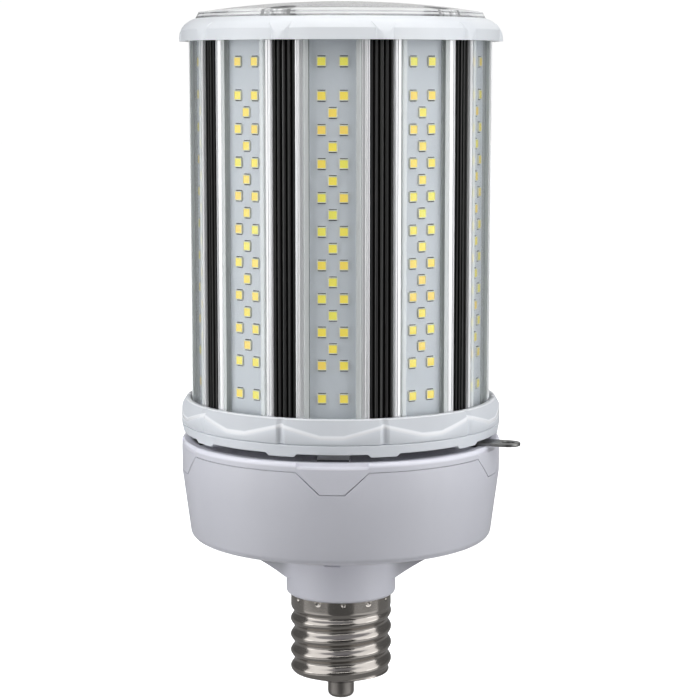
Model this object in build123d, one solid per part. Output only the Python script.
"""LED replacement lamp for HID fixtures: ten light columns on a mogul screw base.

Millimetres. Z runs up the lamp's axis from the tip of the centre contact.
Angles turn about Z from the front, which is -Y, towards +X.
"""
from build123d import *
import math
import os

# Clearances of the fits
slide_fit = 0.1
screw_fit = 0.1
tab_gap = 0.3
seam_gap = 0.3
seam_depth = 0.8

# Mogul screw base
contact_radius = 5.1
contact_reach = 6.4
contact_root = 4.0
contact_rounding = 2.0
insulator_nose_radius = 6.3
insulator_nose = 4.0
shell_bottom_radius = 16.2
thread_crest_radius = 19.65
thread_root_radius = 18.35
thread_pitch = 6.35
thread_turns = 4
thread_land = 1.3
shell_bore_radius = 17.4
collar_radius = 19.5
collar_height = 8.5
shell_socket_depth = 2.4

# Driver housing
neck_radius = 21.2
neck_height = 23.2
neck_rounding = 1.4
neck_bore_radius = 13.0
housing_taper = 3.4
housing_taper_height = 26.0
housing_height = 34.8
housing_corner = 3.2
housing_wall = 2.6
housing_floor = 2.6
gusset_margin = 8.5
gusset_foot = 16.0
gusset_thickness = 9.0
gusset_rounding = 18.0
neck_slot_width = 6.2
neck_slot_height = 0.9
neck_slot_depth = 1.2
neck_slot_drop = 8.9
neck_slot_angle = -6.0

# Housing collar with its tabs
lid_thickness = 2.0
lid_rim_height = 3.65
lid_rim_width = 3.6
lid_rim_rounding = 1.2
lid_spigot_depth = 2.6
lid_spigot_width = 1.8
tab_count = 5
tab_top_width = 26.0
tab_bottom_width = 8.6
tab_drop = 7.8
tab_thickness = 1.2
tab_ledge_depth = 0.9
tab_ledge_drop = 1.4
wire_hole_radius = 7.0

# Air gap: posts, screws and eyelet
gap_height = 3.0
post_inset = 10.5
post_width = 11.5
post_depth = 6.0
screw_radius = 1.5
screw_head_radius = 2.8
screw_head_height = 2.0
eyelet_thickness = 1.3
eyelet_hole_radius = 2.5
eyelet_outer_radius = 4.6
eyelet_overhang = 6.1
eyelet_column = 2

# Vent skirt, end plate and crown
skirt_height = 3.3
skirt_width = 4.0
skirt_taper = 0.8
skirt_lip_width = 2.4
skirt_lip_thickness = 0.6
foot_drop = 1.1
foot_width = 10.0
end_plate_thickness = 2.7
crown_wall = 3.3
crown_height = 9.4
crown_fit = 0.55
facet_drop = 6.5
facet_end_drop = 1.5
facet_lean = 2.3
crown_groove_width = 2.6
crown_groove_depth = 1.0

# Light columns
column_count = 10
column_length = 134.3
column_socket_depth = 3.1
seat_distance = 50.5
channel_half_width = 13.2
channel_floor = 1.5
rail_width = 2.9
rail_height = 5.1
board_thickness = 1.4
cover_height = 5.5
cover_wall = 1.1
cover_side_wall = 1.8
led_side = 3.5
led_height = 0.6
led_row_pitch = 12.0
led_row_drop = 0.5
led_pair_offset = 3.95
led_pair_rows = 11
led_single_rows = 8

# Heat sink
land_height = 5.7
rib_gap_width = 0.9
rib_gap_depth = 1.5
rib_gaps_per_strip = 4
rib_gap_angle = 2.0
sink_wall = 2.5
sink_hub_radius = 14.0
sink_hub_bore_radius = 12.0
sink_fin_thickness = 1.8

# Top cap and lens
cap_wall = 2.6
cap_height = 8.3
cap_band = 0.6
cap_shoulder = 5.8
cap_rim = 0.3
cap_fit = 0.85
cap_shelf_thickness = 2.0
cap_shelf_lap = 3.0
cap_panel_height = 4.1
cap_panel_depth = 0.8
cap_rib_rounding = 5.0
cap_rib_height = 6.4
cap_rib_depth = 0.35
lens_edge_width = 1.2
lens_rise = 6.5
lens_edge_rise = 2.4
lens_thickness = 1.8
lens_pocket_radius = 4.6
lens_pocket_inset = 6.9
lens_pocket_angle = -22.4
lens_boss_wall = 1.4
lens_screw_seat = 1.6
top_board_fit = 0.6
top_board_thickness = 1.4
top_led_rings = 3
top_led_ring_pitch = 11.7
top_led_first_count = 6

# Driver in the housing
driver_boss_radius = 3.4
driver_boss_inset = 10.0
driver_boss_height = 4.5
driver_boss_count = 4
driver_board_margin = 5.0
driver_board_thickness = 1.6
transformer_size = (30.0, 26.0, 18.0)
transformer_place = (-21.0, 12.0)
capacitor_radius = 6.2
capacitor_height = 18.0
capacitor_places = ((18.0, 24.0), (32.0, 14.0), (34.0, -4.0))
choke_radius = 9.0
choke_height = 13.0
choke_place = (16.0, -22.0)
lead_radius = 0.9
shell_lead_offset = 8.0
led_lead_spacing = 6.0

# Heights along the axis, stacked from the contact's tip
insulator_bottom = contact_reach
shell_bottom = insulator_bottom + insulator_nose
thread_top = shell_bottom + thread_pitch * thread_turns
shell_top = thread_top + collar_height
neck_bottom = shell_top - shell_socket_depth
housing_bottom = neck_bottom + neck_height
housing_top = housing_bottom + housing_height
lid_top = housing_top + lid_thickness
rim_top = housing_top + lid_rim_height
skirt_bottom = rim_top + gap_height
skirt_top = skirt_bottom + skirt_height
plate_bottom = skirt_top - end_plate_thickness
crown_top = skirt_top + crown_height
column_bottom = skirt_top
cap_bottom = crown_top + column_length
column_top = cap_bottom + column_socket_depth
shelf_top = column_top + cap_shelf_thickness
cap_top = cap_bottom + cap_height
lens_top = cap_top + lens_rise
driver_board_bottom = housing_bottom + housing_floor + driver_boss_height
driver_board_top = driver_board_bottom + driver_board_thickness

# Radii, worked outwards and inwards from the light columns
column_angle = 360 / column_count
tab_angle = 360 / tab_count
board_face = seat_distance + channel_floor + board_thickness
rail_distance = seat_distance + rail_height
rail_side = channel_half_width - rail_width
cover_distance = seat_distance + cover_height
cover_half_width = rail_side - slide_fit
board_half_width = cover_half_width - cover_side_wall - slide_fit
land_radius = seat_distance + land_height
sink_wall_radius = seat_distance - sink_wall
column_corner = math.hypot(channel_half_width, rail_distance)
crown_bore_radius = column_corner + crown_fit
crown_radius = crown_bore_radius + crown_wall
housing_radius = crown_radius
housing_inner_radius = housing_radius - housing_wall
housing_floor_radius = housing_radius - housing_taper
post_radius = housing_radius - post_inset
eyelet_reach = housing_radius + eyelet_overhang
plate_radius = crown_radius - skirt_width - slide_fit
driver_board_radius = housing_floor_radius - housing_wall - driver_board_margin
driver_boss_distance = driver_board_radius - driver_boss_inset
cap_bore_radius = column_corner + cap_fit
cap_radius = cap_bore_radius + cap_wall
lens_radius = cap_radius - cap_shoulder - cap_rim
lens_edge_radius = lens_radius - lens_edge_width
lens_pocket_distance = lens_radius - lens_pocket_inset
top_board_radius = lens_pocket_distance - lens_pocket_radius - lens_boss_wall - top_board_fit
cap_shelf_radius = top_board_radius - cap_shelf_lap
STAND = (Align.CENTER, Align.CENTER, Align.MIN)


def turned(*outline):
    """Solid of revolution about Z; the outline's points are (radius, height)."""
    return revolve(make_face(Plane.XZ * Polyline(*outline, close=True)), Axis.Z)


def rod(radius, bottom, top, x=0, y=0):
    """Upright cylinder between two heights."""
    return Pos(x, y, bottom) * Cylinder(radius, top - bottom, align=STAND)


def ring(outer, inner, bottom, top):
    """Plain ring about Z."""
    return rod(outer, bottom, top) - rod(inner, bottom, top)


def front_block(width, near, far, bottom, top):
    """Block at the front of the lamp, centred across, from near to far out from the axis."""
    size = (width, far - near, top - bottom)
    return Pos(0, -(near + far) / 2, bottom) * Box(*size, align=STAND)


def around(shape, count, start=0):
    """Copies of a front shape, spread evenly about Z."""
    return [Rot(0, 0, start + 360 / count * step) * shape for step in range(count)]


def edges_at(part, height, radius):
    """Circular edges of a part at one height and radius."""
    near = 0.01
    level = part.edges().filter_by(GeomType.CIRCLE).filter_by_position(Axis.Z, height - near, height + near)
    return level.filter_by(lambda edge: abs(edge.radius - radius) < near)


def make_centre_contact():
    stud = rod(contact_radius, 0, contact_reach + contact_root)
    return fillet(edges_at(stud, 0, contact_radius), contact_rounding)


def make_base_insulator():
    body = turned(
        (0, insulator_bottom),
        (insulator_nose_radius, insulator_bottom),
        (shell_bottom_radius, shell_bottom),
        (shell_bore_radius, shell_bottom),
        (shell_bore_radius, neck_bottom),
        (0, neck_bottom),
    )
    body -= rod(contact_radius, insulator_bottom, insulator_bottom + contact_root)
    body -= rod(lead_radius, insulator_bottom, neck_bottom)
    return body - rod(lead_radius, shell_bottom, neck_bottom, x=shell_lead_offset)


def make_screw_shell():
    outline = [(shell_bore_radius, shell_top), (shell_bore_radius, shell_bottom)]
    for turn in range(thread_turns):
        foot = shell_bottom + thread_pitch * turn
        crest = foot + thread_pitch / 2
        outline.append((thread_root_radius, foot))
        outline.append((thread_crest_radius, crest - thread_land / 2))
        outline.append((thread_crest_radius, crest + thread_land / 2))
    outline.append((thread_root_radius, thread_top))
    outline.append((collar_radius, thread_top + collar_radius - thread_root_radius))
    outline.append((collar_radius, shell_top))
    return turned(*outline)


def tab_prism(margin):
    """Tapered outline of a tab, as a prism through the housing's wall."""
    outline = Polyline(
        (-tab_top_width / 2 - margin, housing_top + seam_gap),
        (-tab_top_width / 2 - margin, housing_top),
        (-tab_bottom_width / 2 - margin, housing_top - tab_drop - margin),
        (tab_bottom_width / 2 + margin, housing_top - tab_drop - margin),
        (tab_top_width / 2 + margin, housing_top),
        (tab_top_width / 2 + margin, housing_top + seam_gap),
        close=True,
    )
    return extrude(Plane.XZ * make_face(outline), housing_radius + housing_wall)


def gusset_plan():
    """Prism of one gusset seen from below: a plate that curves into the neck on both sides."""
    half = gusset_thickness / 2
    side = half + gusset_rounding
    reach = math.sqrt((neck_radius + gusset_rounding) ** 2 - side**2)
    share = neck_radius / (neck_radius + gusset_rounding)
    plan = Polyline((0, 0), (reach * share, side * share), (reach, half), (housing_floor_radius, half))
    plan += Polyline((housing_floor_radius, half), (housing_floor_radius, -half), (reach, -half))
    plan += Polyline((reach, -half), (reach * share, -side * share), (0, 0))
    hollow = Circle(gusset_rounding)
    outline = make_face(plan) - [Pos(reach, side) * hollow, Pos(reach, -side) * hollow]
    prism = Pos(0, 0, neck_bottom) * extrude(outline, housing_top - neck_bottom)
    return prism - rod(neck_bore_radius, neck_bottom, housing_top)


def make_driver_housing():
    floor_top = housing_bottom + housing_floor
    taper_top = housing_bottom + housing_taper_height
    cup = turned(
        (neck_bore_radius, floor_top),
        (neck_bore_radius, shell_top),
        (collar_radius, shell_top),
        (collar_radius, neck_bottom),
        (neck_radius, neck_bottom),
        (neck_radius, housing_bottom),
        (housing_floor_radius, housing_bottom),
        (housing_radius, taper_top),
        (housing_radius, housing_top),
        (housing_inner_radius, housing_top),
        (housing_inner_radius, taper_top),
        (housing_floor_radius - housing_wall, floor_top),
    )
    cup = fillet(edges_at(cup, housing_bottom, housing_floor_radius), housing_corner)
    cup = fillet(edges_at(cup, neck_bottom, neck_radius), neck_rounding)
    gusset = Polyline(
        (neck_bore_radius, housing_bottom + housing_floor),
        (neck_bore_radius, housing_bottom - gusset_foot),
        (neck_radius, housing_bottom - gusset_foot),
        (housing_floor_radius - gusset_margin, housing_bottom),
        (housing_floor_radius - gusset_margin, housing_bottom + housing_floor),
        close=True,
    )
    web = extrude(Plane.XZ * make_face(gusset), neck_radius, both=True) & gusset_plan()
    cup += [web, Rot(0, 0, 180) * web]
    boss_bottom = floor_top - housing_floor / 2
    boss = rod(driver_boss_radius, boss_bottom, driver_board_bottom, y=-driver_boss_distance)
    cup += around(boss, driver_boss_count, 360 / driver_boss_count / 2)
    groove = ring(housing_radius + housing_wall, housing_radius - tab_thickness, housing_bottom, housing_top)
    slot_bottom = housing_bottom - neck_slot_drop
    slot_top = slot_bottom + neck_slot_height
    slot_floor = neck_radius - neck_slot_depth
    slot = front_block(neck_slot_width, slot_floor, neck_radius + housing_wall, slot_bottom, slot_top)
    cup -= Rot(0, 0, neck_slot_angle) * slot
    return cup - around(groove & tab_prism(tab_gap), tab_count)


def make_housing_collar():
    rim_inner = housing_radius - lid_rim_width
    spigot = housing_inner_radius - slide_fit
    lid = turned(
        (wire_hole_radius, housing_top),
        (spigot - lid_spigot_width, housing_top),
        (spigot - lid_spigot_width, housing_top - lid_spigot_depth),
        (spigot, housing_top - lid_spigot_depth),
        (spigot, housing_top),
        (housing_radius - seam_depth, housing_top),
        (housing_radius - seam_depth, housing_top + seam_gap),
        (housing_radius, housing_top + seam_gap),
        (housing_radius, rim_top),
        (rim_inner, rim_top),
        (rim_inner, lid_top),
        (wire_hole_radius, lid_top),
    )
    lid = fillet(edges_at(lid, rim_top, housing_radius), lid_rim_rounding)
    under_post = post_radius - post_depth / 2
    pedestal = front_block(post_width, under_post, rim_inner + lid_rim_width / 2, lid_top, rim_top)
    skin_inner = housing_radius - tab_thickness + slide_fit
    skin = ring(housing_radius, skin_inner, housing_bottom, housing_top + seam_gap)
    ledge_bottom = rim_top - tab_ledge_drop
    ledge = turned(
        (housing_radius - tab_ledge_depth, rim_top),
        (housing_radius - tab_ledge_depth, ledge_bottom),
        (housing_radius, ledge_bottom - tab_ledge_depth),
        (housing_radius + tab_ledge_depth, ledge_bottom - tab_ledge_depth),
        (housing_radius + tab_ledge_depth, rim_top),
    )
    ledge &= front_block(tab_top_width, 0, housing_radius + tab_ledge_depth, housing_top, rim_top)
    lid += around(pedestal, tab_count)
    lid += around(skin & tab_prism(0), tab_count)
    lid -= around(ledge, tab_count)
    hole = rod(screw_radius + screw_fit, housing_top, rim_top, y=-post_radius)
    return lid - around(hole, tab_count)


def make_safety_eyelet():
    plate_top = rim_top + eyelet_thickness
    under_post = post_radius - post_depth / 2
    strip = front_block(eyelet_outer_radius * 2, under_post, eyelet_reach, rim_top, plate_top)
    strip += rod(eyelet_outer_radius, rim_top, plate_top, y=-eyelet_reach)
    strip -= rod(eyelet_hole_radius, rim_top, plate_top, y=-eyelet_reach)
    strip -= rod(screw_radius + screw_fit, rim_top, plate_top, y=-post_radius)
    return Rot(0, 0, column_angle * eyelet_column) * strip


def make_standoff_posts():
    posts = []
    for step in range(tab_count):
        on_eyelet = tab_angle * step == column_angle * eyelet_column
        foot = rim_top + eyelet_thickness if on_eyelet else rim_top
        near = post_radius - post_depth / 2
        post = front_block(post_width, near, near + post_depth, foot, plate_bottom)
        post -= rod(screw_radius + screw_fit, foot, plate_bottom, y=-post_radius)
        posts.append(Rot(0, 0, tab_angle * step) * post)
    return posts


def make_post_screws():
    head_bottom = housing_top - screw_head_height
    screw = rod(screw_head_radius, head_bottom, housing_top, y=-post_radius)
    screw += rod(screw_radius, head_bottom, skirt_top, y=-post_radius)
    return around(screw, tab_count)


def make_end_plate():
    plate = ring(plate_radius, wire_hole_radius, plate_bottom, skirt_top)
    hole = rod(screw_radius, plate_bottom, skirt_top, y=-post_radius)
    return plate - around(hole, tab_count)


def make_vent_skirt():
    inner = crown_radius - skirt_width
    lip_bottom = plate_bottom - skirt_lip_thickness
    skirt = turned(
        (inner, skirt_bottom - foot_drop),
        (crown_radius - skirt_taper, skirt_bottom - foot_drop),
        (crown_radius, skirt_top),
        (inner, skirt_top),
    )
    skirt += ring(inner + slide_fit, inner - skirt_lip_width, lip_bottom, plate_bottom)
    half_width = crown_radius * math.sin(math.pi / column_count) - foot_width / 2
    opening = Polyline(
        (-half_width, skirt_bottom - foot_drop),
        (half_width, skirt_bottom - foot_drop),
        (half_width - foot_drop, skirt_bottom),
        (foot_drop - half_width, skirt_bottom),
        close=True,
    )
    window = extrude(Plane.XZ * make_face(opening), crown_radius + skirt_width)
    return skirt - around(window, column_count)


def make_crown_ring():
    crown = turned(
        (crown_bore_radius, skirt_top),
        (crown_radius - seam_depth, skirt_top),
        (crown_radius - seam_depth, skirt_top + seam_gap),
        (crown_radius, skirt_top + seam_gap),
        (crown_radius, crown_top - facet_end_drop),
        (crown_radius - facet_lean, crown_top),
        (crown_bore_radius, crown_top),
    )
    lean = Polyline(
        (crown_radius, crown_top - facet_drop),
        (crown_radius - facet_lean, crown_top),
        (crown_radius * 2, crown_top),
        (crown_radius * 2, crown_top - facet_drop),
        close=True,
    )
    wedge = extrude(Plane.XZ * make_face(lean), crown_radius, both=True)
    wedge = Rot(0, 0, -90) * wedge
    bottom_of_groove = crown_radius - crown_groove_depth
    groove = front_block(crown_groove_width, bottom_of_groove, crown_radius * 2, skirt_top, crown_top)
    crown -= around(wedge, column_count)
    return crown - around(groove, column_count, column_angle / 2)


def make_heat_sink():
    section = Circle(land_radius)
    seat_width = channel_half_width * 2 + slide_fit * 2
    seat = Pos(0, -seat_distance) * Rectangle(seat_width, land_radius, align=(Align.CENTER, Align.MAX))
    section -= around(seat, column_count)
    gap = Pos(0, rib_gap_depth - land_radius) * Rectangle(
        rib_gap_width, rib_gap_depth * 2, align=(Align.CENTER, Align.MAX)
    )
    for place in range(rib_gaps_per_strip):
        offset = rib_gap_angle * (place - (rib_gaps_per_strip - 1) / 2)
        section -= around(gap, column_count, column_angle / 2 + offset)
    duct = Circle(sink_wall_radius) - Circle(sink_hub_radius)
    fin = Pos(0, -sink_hub_radius / 2) * Rectangle(
        sink_fin_thickness, sink_wall_radius, align=(Align.CENTER, Align.MAX)
    )
    section -= duct - around(fin, column_count)
    section -= Circle(sink_hub_bore_radius)
    return Pos(0, 0, column_bottom) * extrude(section, column_top - column_bottom)


def make_channel():
    floor = seat_distance + channel_floor
    outline = Polyline(
        (-channel_half_width, -seat_distance),
        (channel_half_width, -seat_distance),
        (channel_half_width, -rail_distance),
        (rail_side, -rail_distance),
        (rail_side, -floor),
        (-rail_side, -floor),
        (-rail_side, -rail_distance),
        (-channel_half_width, -rail_distance),
        close=True,
    )
    return Pos(0, 0, column_bottom) * extrude(make_face(outline), column_top - column_bottom)


def make_led_board():
    floor = seat_distance + channel_floor
    return front_block(board_half_width * 2, floor, board_face, column_bottom, column_top)


def make_leds():
    middle = (crown_top + cap_bottom) / 2 - led_row_drop
    spots = []
    for row in range(led_pair_rows):
        height = middle + led_row_pitch * (row - (led_pair_rows - 1) / 2)
        spots.append((-led_pair_offset, height))
        spots.append((led_pair_offset, height))
    for row in range(led_single_rows):
        spots.append((0, middle + led_row_pitch * (row - (led_single_rows - 1) / 2)))
    led = front_block(led_side, board_face, board_face + led_height, -led_side / 2, led_side / 2)
    return [Pos(across, 0, height) * led for across, height in spots]


def make_clear_cover():
    floor = seat_distance + channel_floor
    inner = cover_half_width - cover_side_wall
    outline = Polyline(
        (-cover_half_width, -floor),
        (-cover_half_width, -cover_distance),
        (cover_half_width, -cover_distance),
        (cover_half_width, -floor),
        (inner, -floor),
        (inner, cover_wall - cover_distance),
        (-inner, cover_wall - cover_distance),
        (-inner, -floor),
        close=True,
    )
    return Pos(0, 0, column_bottom) * extrude(make_face(outline), column_top - column_bottom)


def cap_body(margin):
    """Solid under the cap's outside face, grown outwards by a margin."""
    radius = cap_radius + margin
    foot = (radius, cap_bottom + cap_band)
    rim = (radius - cap_shoulder, cap_top)
    side = Polyline(rim, (0, cap_top), (0, cap_bottom), (radius, cap_bottom), foot)
    shoulder = TangentArc(foot, rim, tangent=(0, 1))
    return revolve(Plane.XZ * make_face(side + shoulder), Axis.Z)


def make_top_cap():
    rib_centre = cap_radius + cap_rib_depth - cap_rib_rounding
    rib = rod(cap_rib_rounding, cap_bottom, cap_bottom + cap_rib_height, y=-rib_centre)
    rib = rib & cap_body(cap_rib_depth)
    panel_radius = cap_radius - cap_panel_depth
    panels = ring(cap_radius, panel_radius, cap_bottom, cap_bottom + cap_panel_height)
    cap = cap_body(0) - panels + around(rib, column_count, column_angle / 2)
    cap -= rod(cap_bore_radius, cap_bottom, column_top)
    cap -= rod(cap_shelf_radius, column_top, shelf_top)
    cap -= rod(lens_radius + slide_fit, shelf_top, cap_top)
    hole = rod(screw_radius, column_top, shelf_top, y=-lens_pocket_distance)
    return cap - around(hole, tab_count, lens_pocket_angle)


def lens_body(radius, edge_radius, wall_top, top):
    """Solid under a shallow dome with a bevelled edge, standing on the cap's shelf."""
    edge_height = wall_top + lens_edge_rise
    bulge = top - edge_height
    bulge_radius = (edge_radius**2 + bulge**2) / (2 * bulge)
    edge = (edge_radius, edge_height)
    side = Polyline((0, top), (0, shelf_top), (radius, shelf_top), (radius, wall_top), edge)
    bulge_arc = RadiusArc(edge, (0, top), -bulge_radius)
    return revolve(Plane.XZ * make_face(side + bulge_arc), Axis.Z)


def make_top_lens():
    dome = lens_body(lens_radius, lens_edge_radius, cap_top, lens_top)
    inset = lens_thickness
    hollow = lens_body(lens_radius - inset, lens_edge_radius - inset, cap_top - inset, lens_top - inset)
    boss = rod(lens_pocket_radius + lens_boss_wall, shelf_top, lens_top, y=-lens_pocket_distance)
    hollow -= around(boss, tab_count, lens_pocket_angle)
    pocket = rod(lens_pocket_radius, shelf_top + lens_screw_seat, lens_top, y=-lens_pocket_distance)
    hole = rod(screw_radius + screw_fit, shelf_top, lens_top, y=-lens_pocket_distance)
    return dome - hollow - around(pocket + hole, tab_count, lens_pocket_angle)


def make_lens_screws():
    seat = shelf_top + lens_screw_seat
    screw = rod(screw_head_radius, seat, seat + screw_head_height, y=-lens_pocket_distance)
    screw += rod(screw_radius, column_top, seat, y=-lens_pocket_distance)
    return around(screw, tab_count, lens_pocket_angle)


def make_top_board():
    return rod(top_board_radius, shelf_top, shelf_top + top_board_thickness)


def make_top_leds():
    face = shelf_top + top_board_thickness
    leds = []
    for ring_number in range(1, top_led_rings + 1):
        place = Pos(0, -top_led_ring_pitch * ring_number, face)
        led = place * Box(led_side, led_side, led_height, align=STAND)
        leds += around(led, top_led_first_count * ring_number)
    return leds


def make_driver_board():
    return rod(driver_board_radius, driver_board_bottom, driver_board_top)


def make_driver_components():
    """Transformer, choke and capacitors on the driver board."""
    capacitor_top = driver_board_top + capacitor_height
    choke_top = driver_board_top + choke_height
    pieces = [rod(capacitor_radius, driver_board_top, capacitor_top, x, y) for x, y in capacitor_places]
    pieces.append(rod(choke_radius, driver_board_top, choke_top, *choke_place))
    pieces.append(Pos(*transformer_place, driver_board_top) * Box(*transformer_size, align=STAND))
    return pieces


def make_lead_wires():
    """Two wires from the base up to the driver board, and two from there to the top board."""
    offset = led_lead_spacing / 2
    wires = [rod(lead_radius, driver_board_top, shelf_top, y=side * offset) for side in (-1, 1)]
    wires.append(rod(lead_radius, contact_reach + contact_root, driver_board_bottom))
    wires.append(rod(lead_radius, shell_bottom, driver_board_bottom, x=shell_lead_offset))
    return wires


nodes = {
    "centre_contact": make_centre_contact(),
    "base_insulator": make_base_insulator(),
    "screw_shell": make_screw_shell(),
    "driver_housing": make_driver_housing(),
    "housing_collar": make_housing_collar(),
    "safety_eyelet": make_safety_eyelet(),
    "standoff_posts": make_standoff_posts(),
    "post_screws": make_post_screws(),
    "end_plate": make_end_plate(),
    "vent_skirt": make_vent_skirt(),
    "crown_ring": make_crown_ring(),
    "heat_sink": make_heat_sink(),
    "top_cap": make_top_cap(),
    "top_lens": make_top_lens(),
    "lens_screws": make_lens_screws(),
    "top_board": make_top_board(),
    "top_leds": make_top_leds(),
    "driver_board": make_driver_board(),
    "driver_components": make_driver_components(),
    "lead_wires": make_lead_wires(),
}

column_pieces = {
    "channel": [make_channel()],
    "led_board": [make_led_board()],
    "leds": make_leds(),
    "clear_cover": [make_clear_cover()],
}
for column in range(column_count):
    turn = Rot(0, 0, column_angle * column)
    for name, solids in column_pieces.items():
        nodes[f"{name}_{column + 1:02d}"] = [turn * solid for solid in solids]

os.makedirs("parts", exist_ok=True)
for name, piece in nodes.items():
    shape = Compound(children=piece) if isinstance(piece, list) else piece
    export_step(shape, f"parts/{name}.step")
    print(name)
